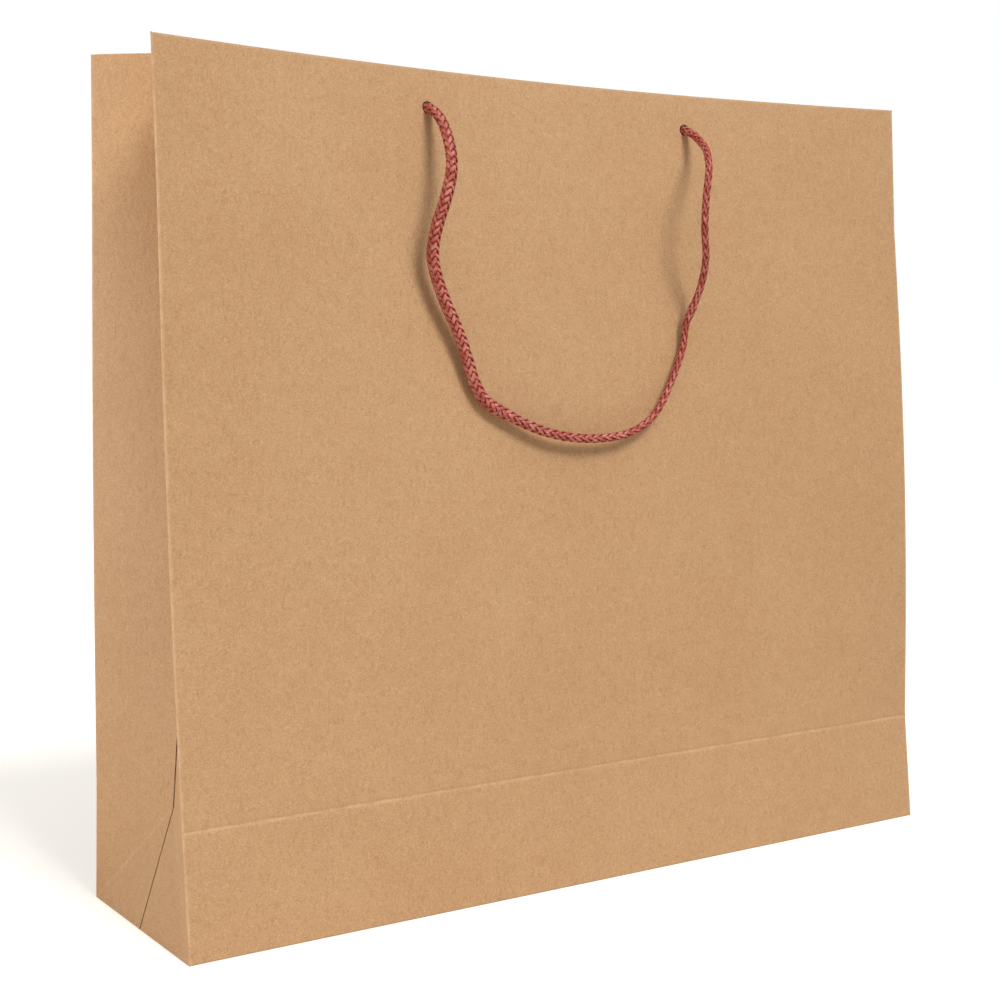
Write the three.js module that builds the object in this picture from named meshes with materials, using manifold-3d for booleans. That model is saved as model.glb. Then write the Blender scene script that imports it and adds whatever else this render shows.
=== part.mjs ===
// A large kraft-paper gift bag, opened and standing on its base, with a braided cord
// handle on each wide wall. Millimetres, +Z up, front wall towards -Y, origin in the
// middle of the footprint on the surface that the bag stands on.
import * as THREE from "three";
import * as BufferGeometryUtils from "three/addons/utils/BufferGeometryUtils.js";
import Module from "manifold-3d";

const wasm = await Module();
wasm.setup();

// ---------------------------------------------------------------- driving dimensions
const WIDTH = 540;
const DEPTH = 140;
const PANEL_HEIGHT = 490; // along the paper, from the bottom fold to the rim
const FOOT_HEIGHT = DEPTH / 2; // along the paper, up to the fold line across the bag
const PAPER = 0.5;
const GAP = 0.3; // clearance between pieces that touch

const PANEL_GRID = { columns: 14, rows: 12 };
const BASE_BOARD = { width: 530, depth: 134, thickness: 1.5 };
const BOTTOM_LAP = 8; // how far a bottom flap passes the middle
const BOTTOM_CLEARANCE = 1.5; // from the outer faces, clear of the leaning gusset feet
const END_FLAP_REACH = 72;

const HEM_DEPTH = 45;
const HEM_INSET_FROM_EDGE = 4;
const RIM_BOARD = { depth: 41, thickness: 1.2, insetFromEdge: 5, belowRim: 0.8 };
const LINING_DEPTH = 1.8; // of a layer inside a gusset, across the bag, from its outer face
const GUSSET_HEM_SPAN = [0.08, 0.95]; // from the corner (0) to the middle fold (1)
const GUSSET_COLUMNS = 2; // across each half
const SEAM_TAB = { width: 18, outerEdge: 0.99, aboveFootLine: 4, belowHem: 2, aboveBottom: 12 };

const CORD_DIAMETER = 6;
const CORD_SIDES = 10;
const CORD_STEPS = { loop: 64, end: 10 };
const CORD_END_SHARES = [0.15, 0.4, 0.7, 1]; // of the way from the face to the handle's start
const HOLE_DIAMETER = 7.5;
const HOLE_DROP = 22.7; // below the rim, along the paper
const DRILL = { length: 20, sides: 20 };
const PIVOT_DROP = 8; // of the line that the handle swings about, below the holes
const PIVOT_SEARCH_STEP = 0.0005; // as a share of the route
const HANDLE_START = 1.2; // clearance each side of the pivot, along the cord
const KNOT = { radius: 6.5, squash: 0.85, columns: 14, rows: 10, tail: 14, tailStart: 2 };
const MERGE_TOLERANCE = 1e-4;

// How each wide wall leans in and bows, measured inwards from an upright wall
const FRONT = {
  name: "front", side: -1, footInset: 7, rimInset: 31, bow: 20, belly: 0.8, twist: 3.8,
};
const BACK = {
  name: "back", side: 1, footInset: 4.5, rimInset: 20, bow: 12, belly: 2, twist: 0,
};
const BELLY_SPAN = 0.8; // the share of the upper wall that swells above the fold line
const BOW_POWER = 1.5;

// How far the gussets' middle fold is pushed into the bag
const GUSSET_FOLD = { atFootLine: 22, atRim: 54 };

// The handle's route as it hangs: across the bag, below the holes, off the wall's face
const HANDLE_ROUTE = [
  [-94.2, 0, 0], [-93.8, 2.5, 6], [-93.2, 8, 12], [-92.8, 15, 16], [-93, 22, 19],
  [-93.7, 30, 22], [-95.9, 41, 24], [-100, 55.5, 22.5], [-104, 71, 17.5], [-104.8, 86, 12.5],
  [-101.4, 100, 10], [-95, 115, 8.5], [-88, 129, 7.5], [-82.5, 143, 6.5], [-78, 157, 5.5],
  [-72, 168.5, 4.5], [-66, 174, 4.6], [-55, 180, 5.5], [-40, 187, 7], [-25, 192, 8],
  [-7, 195, 8.5], [11, 195.5, 8.5], [30, 193.5, 8], [48, 186.5, 6.5], [59, 177, 5.6],
  [67, 166, 5], [73, 156.5, 4.6], [78.5, 146, 4.2], [82, 138, 4.4], [83, 127, 6],
  [85.4, 118, 9], [88, 109, 13], [89.6, 97.5, 18], [87.6, 83, 25.5], [83.3, 67, 31.5],
  [82.3, 50, 35.5], [84.6, 35, 36.5], [87.6, 27, 34.5], [92, 20, 28.5], [97.3, 14, 20.5],
  [100, 8, 12], [98.8, 2.5, 6], [98, 0, 0],
];

// ---------------------------------------------------------------- materials
const kraft = () => new THREE.MeshStandardMaterial({ color: 0xc9a077, roughness: 0.85, metalness: 0 });
const greyboard = () => new THREE.MeshStandardMaterial({ color: 0x9c9488, roughness: 0.9, metalness: 0 });
const cordFibre = () => new THREE.MeshStandardMaterial({ color: 0x983a3a, roughness: 0.75, metalness: 0 });

// ---------------------------------------------------------------- shape of the walls
const mix = (a, b, t) => a + (b - a) * t;
const clamp01 = (t) => Math.min(Math.max(t, 0), 1);

// Distance inwards from an upright wall, at x across the bag and s up along the paper
function wallInset(wall, x, s) {
  const foot = clamp01(s / FOOT_HEIGHT);
  const rise = clamp01((s - FOOT_HEIGHT) / (PANEL_HEIGHT - FOOT_HEIGHT));
  const lean = wall.footInset * foot + (wall.rimInset - wall.footInset) * rise;
  const bow = wall.bow * rise ** BOW_POWER * (1 - (2 * x / WIDTH) ** 2);
  const swell = wall.belly + wall.twist * 2 * x / WIDTH;
  const belly = swell * Math.sin(Math.PI * Math.min(rise / BELLY_SPAN, 1));
  return lean + bow - belly;
}

function wallHeight(wall, x, s) {
  const footRise = Math.sqrt(FOOT_HEIGHT ** 2 - wall.footInset ** 2);
  if (s <= FOOT_HEIGHT) return footRise * s / FOOT_HEIGHT;
  const across = wallInset(wall, x, s) - wall.footInset;
  return footRise + Math.sqrt((s - FOOT_HEIGHT) ** 2 - across ** 2);
}

// A point of a wall; depth is measured from its outer face into the bag
function wallPoint(wall, x, s, depth) {
  const y = wall.side * (DEPTH / 2 - wallInset(wall, x, s) - depth);
  return new THREE.Vector3(x, y, wallHeight(wall, x, s));
}

// ---------------------------------------------------------------- closed thin solids
// A closed slab: place(u, v, w) gives its points, u and v over the sheet, w through it
function slab(columns, rows, place) {
  const positions = [];
  const at = (i, j, layer) => (layer * (rows + 1) + j) * (columns + 1) + i;
  for (const w of [0, 1]) {
    for (let j = 0; j <= rows; j++) {
      for (let i = 0; i <= columns; i++) {
        positions.push(...place(i / columns, j / rows, w).toArray());
      }
    }
  }
  const index = [];
  const quad = (a, b, c, d) => index.push(a, b, c, a, c, d);
  for (let j = 0; j < rows; j++) {
    for (let i = 0; i < columns; i++) {
      const ring = [[i, j], [i + 1, j], [i + 1, j + 1], [i, j + 1]];
      const [a, b, c, d] = ring.map(([p, q]) => at(p, q, 0));
      const [e, f, g, h] = ring.map(([p, q]) => at(p, q, 1));
      quad(a, b, c, d);
      index.push(e, g, f, e, h, g);
    }
  }
  for (let i = 0; i < columns; i++) {
    quad(at(i, 0, 0), at(i, 0, 1), at(i + 1, 0, 1), at(i + 1, 0, 0));
    quad(at(i, rows, 0), at(i + 1, rows, 0), at(i + 1, rows, 1), at(i, rows, 1));
  }
  for (let j = 0; j < rows; j++) {
    quad(at(0, j, 0), at(0, j + 1, 0), at(0, j + 1, 1), at(0, j, 1));
    quad(at(columns, j, 0), at(columns, j, 1), at(columns, j + 1, 1), at(columns, j + 1, 0));
  }
  return facingOut(fromTriangles(positions, index));
}

function fromTriangles(positions, index) {
  const geometry = new THREE.BufferGeometry();
  geometry.setAttribute("position", new THREE.Float32BufferAttribute(positions, 3));
  geometry.setIndex(index);
  return geometry;
}

function facingOut(geometry) {
  const index = geometry.getIndex().array;
  const position = geometry.getAttribute("position");
  const corner = (n) => new THREE.Vector3().fromBufferAttribute(position, index[n]);
  let volume = 0;
  for (let n = 0; n < index.length; n += 3) {
    volume += corner(n).dot(corner(n + 1).cross(corner(n + 2)));
  }
  if (volume < 0) index.reverse();
  geometry.computeVertexNormals();
  return geometry;
}

// ---------------------------------------------------------------- boolean cut and join
function toManifold(geometry) {
  const bare = geometry.clone();
  bare.deleteAttribute("normal");
  bare.deleteAttribute("uv");
  const merged = BufferGeometryUtils.mergeVertices(bare, MERGE_TOLERANCE);
  const vertProperties = new Float32Array(merged.getAttribute("position").array);
  const triVerts = new Uint32Array(merged.getIndex().array);
  return new wasm.Manifold(new wasm.Mesh({ numProp: 3, vertProperties, triVerts }));
}

function fromManifold(solid) {
  const { vertProperties, triVerts } = solid.getMesh();
  const geometry = fromTriangles(Array.from(vertProperties), Array.from(triVerts));
  geometry.computeVertexNormals();
  return geometry;
}

function punch(geometry, wall) {
  let solid = toManifold(geometry);
  for (const x of holePlaces(wall)) {
    const drill = new THREE.CylinderGeometry(
      HOLE_DIAMETER / 2, HOLE_DIAMETER / 2, DRILL.length, DRILL.sides);
    const centre = wallPoint(wall, x, PANEL_HEIGHT - HOLE_DROP, 0);
    drill.translate(centre.x, centre.y, centre.z);
    solid = solid.subtract(toManifold(drill));
  }
  return fromManifold(solid);
}

// ---------------------------------------------------------------- assembly helpers
const bag = new THREE.Group();

function add(name, geometry, material) {
  const mesh = new THREE.Mesh(geometry, material);
  mesh.name = name;
  bag.add(mesh);
}

// ---------------------------------------------------------------- walls
function wallStrip(wall, halfWidth, low, high, depth, thickness, columns, rows) {
  return slab(columns, rows, (u, v, w) =>
    wallPoint(wall, mix(-halfWidth, halfWidth, u), mix(low, high, v), depth + thickness * w));
}

function addWall(wall) {
  const half = WIDTH / 2;
  const boardDepth = PAPER + GAP;
  const hemDepth = boardDepth + RIM_BOARD.thickness + GAP;
  const boardTop = PANEL_HEIGHT - RIM_BOARD.belowRim;
  const foot = wallStrip(wall, half, 0, FOOT_HEIGHT - GAP, 0, PAPER, 1, 1);
  const panel = wallStrip(wall, half, FOOT_HEIGHT + GAP, PANEL_HEIGHT, 0, PAPER,
    PANEL_GRID.columns, PANEL_GRID.rows);
  const board = wallStrip(wall, half - RIM_BOARD.insetFromEdge,
    boardTop - RIM_BOARD.depth, boardTop, boardDepth, RIM_BOARD.thickness,
    PANEL_GRID.columns, 1);
  const hem = wallStrip(wall, half - HEM_INSET_FROM_EDGE,
    PANEL_HEIGHT - HEM_DEPTH, PANEL_HEIGHT, hemDepth, PAPER, PANEL_GRID.columns, 1);
  add(`${wall.name}_foot`, foot, kraft());
  add(`${wall.name}_panel`, punch(panel, wall), kraft());
  add(`${wall.name}_rim_board`, punch(board, wall), greyboard());
  add(`${wall.name}_hem`, punch(hem, wall), kraft());
}

// ---------------------------------------------------------------- gussets
const GUSSETS = [{ name: "left", side: -1 }, { name: "right", side: 1 }];

// The gusset's edge, just inside a wide wall at the bag's corner
function cornerPoint(gusset, wall, s) {
  return wallPoint(wall, gusset.side * WIDTH / 2, s, PAPER + GAP);
}

// The middle fold: it leans in from the bottom edge, then further in up to the rim
function foldPoint(gusset, s) {
  const middle = (from) => wallPoint(FRONT, WIDTH / 2, from, 0)
    .add(wallPoint(BACK, WIDTH / 2, from, 0)).multiplyScalar(0.5);
  const rise = clamp01((s - FOOT_HEIGHT) / (PANEL_HEIGHT - FOOT_HEIGHT));
  const foot = clamp01(s / FOOT_HEIGHT);
  const inwards = GUSSET_FOLD.atFootLine * foot
    + (GUSSET_FOLD.atRim - GUSSET_FOLD.atFootLine) * rise;
  const footLineHeight = Math.sqrt(FOOT_HEIGHT ** 2 - GUSSET_FOLD.atFootLine ** 2);
  const height = s <= FOOT_HEIGHT
    ? footLineHeight * foot
    : mix(footLineHeight, middle(PANEL_HEIGHT).z, rise);
  return new THREE.Vector3(gusset.side * (WIDTH / 2 - inwards), middle(s).y, height);
}

// The gusset's foot is two flat triangles that share the crease from the bottom corner up
// to the middle fold
function footPoint(gusset, wall, across, s) {
  const up = s / FOOT_HEIGHT;
  const bottomCorner = cornerPoint(gusset, wall, 0);
  const topFold = foldPoint(gusset, FOOT_HEIGHT);
  const under = across > up;
  const other = under ? foldPoint(gusset, 0) : cornerPoint(gusset, wall, FOOT_HEIGHT);
  const first = other.clone().sub(bottomCorner).multiplyScalar(under ? across : up);
  const second = topFold.sub(other).multiplyScalar(under ? up : across);
  return bottomCorner.add(first).add(second);
}

// Half a gusset, between a corner (across = 0) and the middle fold (across = 1)
function gussetPoint(gusset, wall, across, s, depth) {
  const point = s <= FOOT_HEIGHT
    ? footPoint(gusset, wall, across, s)
    : cornerPoint(gusset, wall, s).lerp(foldPoint(gusset, s), across);
  point.y += wall.side * GAP / 2 * across;
  point.x -= gusset.side * depth;
  return point;
}

function gussetStrip(gusset, wall, span, low, high, depth, rows) {
  return slab(GUSSET_COLUMNS, rows, (u, v, w) =>
    gussetPoint(gusset, wall, mix(span[0], span[1], u), mix(low, high, v), depth + PAPER * w));
}

function addGussetHalf(gusset, wall) {
  const name = `${gusset.name}_${wall.name}_gusset`;
  const foot = slab(1, 1, (u, v, w) =>
    gussetPoint(gusset, wall, u, mix(0, FOOT_HEIGHT - GAP, v), PAPER * w));
  const upper = gussetStrip(gusset, wall, [0, 1], FOOT_HEIGHT + GAP, PANEL_HEIGHT, 0,
    PANEL_GRID.rows);
  const hem = gussetStrip(gusset, wall, GUSSET_HEM_SPAN, PANEL_HEIGHT - HEM_DEPTH, PANEL_HEIGHT,
    LINING_DEPTH, 2);
  add(`${name}_foot`, foot, kraft());
  add(name, upper, kraft());
  add(`${name}_hem`, hem, kraft());
}

// The lap that glues the two sheets together, inside the back half of each gusset
function addSeamTab(gusset) {
  const start = 1 - SEAM_TAB.width / (DEPTH / 2);
  const span = [start, SEAM_TAB.outerEdge];
  const upper = gussetStrip(gusset, BACK, span, FOOT_HEIGHT + SEAM_TAB.aboveFootLine,
    PANEL_HEIGHT - HEM_DEPTH - SEAM_TAB.belowHem, LINING_DEPTH, PANEL_GRID.rows);
  const foot = gussetStrip(gusset, BACK, span, SEAM_TAB.aboveBottom, start * FOOT_HEIGHT,
    LINING_DEPTH, 1);
  add(`${gusset.name}_seam_tab`, upper, kraft());
  add(`${gusset.name}_foot_seam_tab`, foot, kraft());
}

// ---------------------------------------------------------------- bottom
function flatPlate(outline, low, thickness) {
  const shape = new THREE.Shape(outline.map(([x, y]) => new THREE.Vector2(x, y)));
  const plate = new THREE.ExtrudeGeometry(shape, { depth: thickness, bevelEnabled: false });
  return plate.translate(0, 0, low);
}

function addBottom() {
  const half = WIDTH / 2 - PAPER - BOTTOM_CLEARANCE;
  const edge = DEPTH / 2 - PAPER - BOTTOM_CLEARANCE;
  const layer = PAPER + GAP;
  const mitre = half - edge - BOTTOM_LAP;
  const longFlap = (side) => [
    [-half, side * edge], [half, side * edge],
    [mitre, -side * BOTTOM_LAP], [-mitre, -side * BOTTOM_LAP],
  ];
  const endFlap = (side) => [
    [side * half, -edge], [side * half, edge],
    [side * (half - END_FLAP_REACH), edge], [side * (half - END_FLAP_REACH), -edge],
  ];
  const boardHalf = [BASE_BOARD.width / 2, BASE_BOARD.depth / 2];
  const boardOutline = [[-1, -1], [1, -1], [1, 1], [-1, 1]]
    .map(([a, b]) => [a * boardHalf[0], b * boardHalf[1]]);
  add("back_bottom_flap", flatPlate(longFlap(1), 0, PAPER), kraft());
  add("front_bottom_flap", flatPlate(longFlap(-1), layer, PAPER), kraft());
  for (const gusset of GUSSETS) {
    add(`${gusset.name}_end_flap`, flatPlate(endFlap(gusset.side), 2 * layer, PAPER), kraft());
  }
  add("base_board", flatPlate(boardOutline, 3 * layer, BASE_BOARD.thickness), greyboard());
}

// ---------------------------------------------------------------- handles
// The back handle is the same handle turned round, so its route runs the other way
function routePoint(wall, [x, drop, out]) {
  const s = PANEL_HEIGHT - HOLE_DROP - drop;
  return wallPoint(wall, -wall.side * x, s, -out);
}

function holePlaces(wall) {
  return [HANDLE_ROUTE[0], HANDLE_ROUTE.at(-1)].map(([x]) => -wall.side * x);
}

function cordTube(curve, steps) {
  const shape = new THREE.Shape();
  shape.absarc(0, 0, CORD_DIAMETER / 2, 0, 2 * Math.PI);
  return new THREE.ExtrudeGeometry(shape, {
    steps, extrudePath: curve, curveSegments: CORD_SIDES / 2,
  });
}

// The part of a curve between two shares of its length
function stretch(curve, from, to, count) {
  const points = [];
  for (let n = 0; n <= count; n++) points.push(curve.getPointAt(mix(from, to, n / count)));
  return new THREE.CatmullRomCurve3(points);
}

function knotGeometry(centre) {
  const knot = new THREE.SphereGeometry(KNOT.radius, KNOT.columns, KNOT.rows);
  knot.scale(1, KNOT.squash, 1);
  const tail = new THREE.CylinderGeometry(
    CORD_DIAMETER / 2, CORD_DIAMETER / 2, KNOT.tail, CORD_SIDES);
  tail.rotateX(Math.PI / 2).translate(0, 0, -KNOT.tail / 2 - KNOT.tailStart);
  const joined = toManifold(knot).add(toManifold(tail));
  return fromManifold(joined).translate(centre.x, centre.y, centre.z);
}

function addHandle(wall) {
  const route = new THREE.CatmullRomCurve3(HANDLE_ROUTE.map((p) => routePoint(wall, p)));
  const length = route.getLength();
  const pivotShare = sharePastPivot(route, wall);
  const startShare = HANDLE_START / length;
  const loop = stretch(route, pivotShare[0] + startShare, pivotShare[1] - startShare,
    CORD_STEPS.loop);
  add(`${wall.name}_handle_cord`, cordTube(loop, CORD_STEPS.loop), cordFibre());

  const stackDepth = 2 * (PAPER + GAP) + RIM_BOARD.thickness + GAP;
  const knotDepth = stackDepth + KNOT.radius * KNOT.squash;
  const ends = [[0, pivotShare[0] - startShare], [1, pivotShare[1] + startShare]];
  for (const [hole, pivot] of ends) {
    const outside = CORD_END_SHARES.map((t) => route.getPointAt(mix(hole, pivot, t)));
    const [x] = HANDLE_ROUTE.at(hole === 0 ? 0 : -1);
    const bore = (depth) => wallPoint(wall, -wall.side * x, PANEL_HEIGHT - HOLE_DROP, depth);
    const level = bore(0).z;
    const inside = [stackDepth, 0].map((depth) => bore(depth).setZ(level));
    const curve = new THREE.CatmullRomCurve3([...inside, ...outside]);
    const name = `${wall.name}_${inside[0].x < 0 ? "left" : "right"}`;
    add(`${name}_cord_end`, cordTube(curve, CORD_STEPS.end), cordFibre());
    add(`${name}_knot`, knotGeometry(bore(knotDepth + GAP)), cordFibre());
  }
}

// The shares of the route at which the cord passes the handle's pivot line
function sharePastPivot(route, wall) {
  const level = wallPoint(wall, HANDLE_ROUTE[0][0],
    PANEL_HEIGHT - HOLE_DROP - PIVOT_DROP, 0).z;
  const below = (t) => route.getPointAt(t).z < level;
  let first = 0;
  while (!below(first)) first += PIVOT_SEARCH_STEP;
  let last = 1;
  while (!below(last)) last -= PIVOT_SEARCH_STEP;
  return [first, last];
}

// ---------------------------------------------------------------- the bag
for (const wall of [FRONT, BACK]) addWall(wall);
for (const gusset of GUSSETS) {
  for (const wall of [FRONT, BACK]) addGussetHalf(gusset, wall);
  addSeamTab(gusset);
}
addBottom();
for (const wall of [FRONT, BACK]) addHandle(wall);

export default bag;
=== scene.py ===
"""A large kraft-paper gift bag with braided cord handles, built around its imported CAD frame."""
import math
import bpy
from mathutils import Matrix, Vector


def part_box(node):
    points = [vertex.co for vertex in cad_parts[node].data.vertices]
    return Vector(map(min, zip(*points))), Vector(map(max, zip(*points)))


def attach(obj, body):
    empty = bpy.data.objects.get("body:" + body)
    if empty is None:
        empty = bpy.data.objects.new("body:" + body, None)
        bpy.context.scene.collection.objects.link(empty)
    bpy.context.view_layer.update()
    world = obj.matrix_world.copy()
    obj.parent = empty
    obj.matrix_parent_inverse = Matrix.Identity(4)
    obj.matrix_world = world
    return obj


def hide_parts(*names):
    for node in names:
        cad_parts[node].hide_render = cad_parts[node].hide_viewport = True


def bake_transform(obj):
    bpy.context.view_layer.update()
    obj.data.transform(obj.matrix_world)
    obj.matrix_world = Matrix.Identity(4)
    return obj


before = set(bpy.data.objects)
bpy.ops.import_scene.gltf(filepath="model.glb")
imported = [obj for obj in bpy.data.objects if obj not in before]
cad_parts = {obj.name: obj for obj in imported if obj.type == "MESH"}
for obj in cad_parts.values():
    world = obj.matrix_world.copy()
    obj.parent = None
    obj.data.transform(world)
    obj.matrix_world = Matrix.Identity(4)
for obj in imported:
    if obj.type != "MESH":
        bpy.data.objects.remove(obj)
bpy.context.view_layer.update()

from types import SimpleNamespace

import bmesh
import bpy
import numpy as np
from mathutils import Vector, noise

MM = 0.001

# ---------------------------------------------------------------- sizes
foot_low, foot_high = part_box("front_foot")
WIDTH = foot_high.x - foot_low.x
HALF = WIDTH / 2
DEPTH = -2 * foot_low.y
FOOT = DEPTH / 2  # up the paper from the bottom edge to the foot crease
RIM = 490 * MM  # up the paper from the bottom edge to the rim
PAPER = 0.4 * MM
CORNER = 0.7 * MM  # the radius of the upright corners
BOTTOM_FOLD = 1.0 * MM  # the radius of the fold along the bottom edge
RIM_FOLD = 1.4 * MM  # the radius of the fold over the rim
STACK = 2 * RIM_FOLD  # the wall, its rim board and its hem together
GUSSET_RIM_FOLD = 0.7 * MM
HEM = 45 * MM
HEM_EDGE = 4 * MM  # the hem stops this far short of each end of its wall
BOTTOM_LAP = 8 * MM  # each bottom flap reaches this far past the middle
SEAM_TAB = 18 * MM

# How far each wall leans in at its foot crease and at its rim, how far the middle of its rim
# bows in, how far its face bellies out, and how much more it does so at the right end
FRONT = SimpleNamespace(name="front", side=-1, foot_inset=7 * MM, rim_inset=31 * MM,
                        bow=20 * MM, belly=0.8 * MM, twist=3.8 * MM)
BACK = SimpleNamespace(name="back", side=1, foot_inset=4.5 * MM, rim_inset=20 * MM,
                       bow=12 * MM, belly=2 * MM, twist=0)
WALLS = (FRONT, BACK)
ENDS = {-1: "left", 1: "right"}
BELLY_SPAN = 0.8  # of the wall's height, from the foot crease
BOW_POWER = 1.5  # the bow grows with the height to this power
FOLD_AT_FOOT_LINE = 22 * MM  # how far the gusset's middle fold is pushed in, at the foot crease
FOLD_AT_RIM = 54 * MM
GUSSET_SWELL = 1.6 * MM
SWELL_FULL_AT = 1 / 3  # of the gusset's height

HOLE_RADIUS = 3.7 * MM
HOLE_LEVEL = RIM - 22.7 * MM
CORD_DIAMETER = 6 * MM

# The handle's route as it hangs, in millimetres: across the bag, below the holes, off the face
HANDLE_ROUTE = (
    (-94.2, 0, 0), (-93.8, 2.5, 6), (-93.2, 8, 12), (-92.8, 15, 16), (-93, 22, 19),
    (-93.7, 30, 22), (-95.9, 41, 24), (-100, 55.5, 22.5), (-104, 71, 17.5), (-104.8, 86, 12.5),
    (-101.4, 100, 10), (-95, 115, 8.5), (-88, 129, 7.5), (-82.5, 143, 6.5), (-78, 157, 5.5),
    (-72, 168.5, 4.5), (-66, 174, 4.6), (-55, 180, 5.5), (-40, 187, 7), (-25, 192, 8),
    (-7, 195, 8.5), (11, 195.5, 8.5), (30, 193.5, 8), (48, 186.5, 6.5), (59, 177, 5.6),
    (67, 166, 5), (73, 156.5, 4.6), (78.5, 146, 4.2), (82, 138, 4.4), (83, 127, 6),
    (85.4, 118, 9), (88, 109, 13), (89.6, 97.5, 18), (87.6, 83, 25.5), (83.3, 67, 31.5),
    (82.3, 50, 35.5), (84.6, 35, 36.5), (87.6, 27, 34.5), (92, 20, 28.5), (97.3, 14, 20.5),
    (100, 8, 12), (98.8, 2.5, 6), (98, 0, 0),
)


# ---------------------------------------------------------------- camera
def towards(azimuth, elevation):
    """A direction; azimuth 0 is in front of the front wall and 90 beyond the right end."""
    azimuth, elevation = math.radians(azimuth), math.radians(elevation)
    return Vector((math.sin(azimuth) * math.cos(elevation),
                   -math.cos(azimuth) * math.cos(elevation), math.sin(elevation)))


CAMERA = SimpleNamespace(azimuth=-33.3, elevation=5.03, distance=1.0784, lens=61.92,
                         target=Vector((-0.028, 0, 0.2306)))


def add_camera():
    back = towards(CAMERA.azimuth, CAMERA.elevation)
    camera = bpy.data.objects.new("camera", bpy.data.cameras.new("camera"))
    camera.data.lens = CAMERA.lens
    camera.data.clip_start = 10 * MM
    camera.location = CAMERA.target + back * CAMERA.distance
    camera.rotation_euler = back.to_track_quat("Z", "Y").to_euler()
    bpy.context.scene.collection.objects.link(camera)
    bpy.context.scene.camera = camera


add_camera()


# ---------------------------------------------------------------- small helpers
CLOSEST_LINES = 0.05 * MM


def mix(a, b, t):
    return a + (b - a) * t


def clamp(value, low=0.0, high=1.0):
    return min(max(value, low), high)


def smooth(t):
    t = clamp(t)
    return t * t * (3 - 2 * t)


def bump(distance, reach):
    """1 at distance 0, falling smoothly to about 0 past reach."""
    return math.exp(-(distance / reach) ** 2)


def lines(low, high, step, *fine):
    """Grid lines a step apart, with closer ones at each (place, reach, fine step)."""
    count = max(1, round((high - low) / step))
    found = [mix(low, high, n / count) for n in range(count + 1)]
    for place, reach, small in fine:
        found = [v for v in found if abs(v - place) > reach or v in (low, high)]
        near = [place + small * n for n in range(-round(reach / small), round(reach / small) + 1)]
        found += [v for v in near if low < v < high]
    found.sort()
    kept = found[:1]
    for value in found[1:]:
        if value - kept[-1] > CLOSEST_LINES:
            kept.append(value)
    return kept


# ---------------------------------------------------------------- shape of the bag
def wall_inset(wall, x, s):
    """Distance inwards from an upright wall, at x across and s up along the paper."""
    rise = clamp((s - FOOT) / (RIM - FOOT))
    lean = wall.foot_inset * clamp(s / FOOT) + (wall.rim_inset - wall.foot_inset) * rise
    bow = wall.bow * rise ** BOW_POWER * (1 - (x / HALF) ** 2)
    swell = wall.belly + wall.twist * x / HALF
    belly = swell * math.sin(math.pi * min(rise / BELLY_SPAN, 1))
    return lean + bow - belly


def wall_height(wall, x, s):
    foot_rise = math.sqrt(FOOT ** 2 - wall.foot_inset ** 2)
    if s <= FOOT:
        return foot_rise * s / FOOT
    across = wall_inset(wall, x, s) - wall.foot_inset
    return foot_rise + math.sqrt((s - FOOT) ** 2 - across ** 2)


def wall_point(wall, x, s, depth=0.0):
    y = wall.side * (DEPTH / 2 - wall_inset(wall, x, s) - depth)
    return Vector((x, y, wall_height(wall, x, s)))


def fold_in(s):
    """How far the gusset's middle fold is pushed in."""
    rise = clamp((s - FOOT) / (RIM - FOOT))
    return FOLD_AT_FOOT_LINE * clamp(s / FOOT) + (FOLD_AT_RIM - FOLD_AT_FOOT_LINE) * rise


def corner_middle(s):
    front, back = (wall_point(wall, HALF, s) for wall in WALLS)
    return (front + back) / 2


def fold_point(end, s):
    """A point of the middle fold of the gusset at that end (-1 left, 1 right)."""
    foot_height = math.sqrt(FOOT ** 2 - FOLD_AT_FOOT_LINE ** 2)
    rise = clamp((s - FOOT) / (RIM - FOOT))
    level = foot_height * s / FOOT if s <= FOOT else mix(foot_height, corner_middle(RIM).z, rise)
    return Vector((end * (HALF - fold_in(s)), corner_middle(s).y, level))


def wrap_point(wall, end, share, s):
    """The rounded corner, from the wall's face (share 0) to the gusset's (share 1)."""
    half_gap = abs(wall_point(wall, HALF, s).y - corner_middle(s).y)
    turn = share * (math.pi / 2 + math.atan2(fold_in(s), half_gap))
    x = end * (HALF - CORNER + CORNER * math.sin(turn))
    return wall_point(wall, x, s, CORNER * (1 - math.cos(turn)))


def gusset_foot_point(wall, end, across, s):
    """Two flat triangles that share the crease from the bottom corner to the middle fold."""
    up = s / FOOT
    corner, apex = wrap_point(wall, end, 1, 0), fold_point(end, FOOT)
    if across > up:
        other, first, second = fold_point(end, 0), across, up
    else:
        other, first, second = wrap_point(wall, end, 1, FOOT), up, across
    return corner + (other - corner) * first + (apex - other) * second


def gusset_inward(wall, end, s):
    """The direction into the bag, square to half a gusset."""
    along = fold_point(end, s) - wrap_point(wall, end, 1, s)
    return Vector((-end * abs(along.y), wall.side * abs(along.x), 0)).normalized()


def gusset_point(wall, end, across, s, depth=0.0):
    """Half a gusset, from its corner (across 0) to the middle fold (across 1)."""
    if s <= FOOT:
        point = gusset_foot_point(wall, end, across, s)
    else:
        point = wrap_point(wall, end, 1, s).lerp(fold_point(end, s), across)
        rise = (s - FOOT) / (RIM - FOOT)
        depth -= GUSSET_SWELL * math.sin(math.pi * across) * smooth(rise / SWELL_FULL_AT)
    return point + gusset_inward(wall, end, s) * depth


# ---------------------------------------------------------------- meshes of folded paper
FAR = 20.0  # a distance past which no crease shows, in millimetres
LINES = ("fold", "diagonal", "edge", "cut")
JOINED_WITHIN = 0.03 * MM
SHORTEST_EDGE = 0.01 * MM


def away(distance):
    """A signed distance in metres as the millimetres kept on a point."""
    return clamp(distance / MM, -FAR, FAR)


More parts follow.
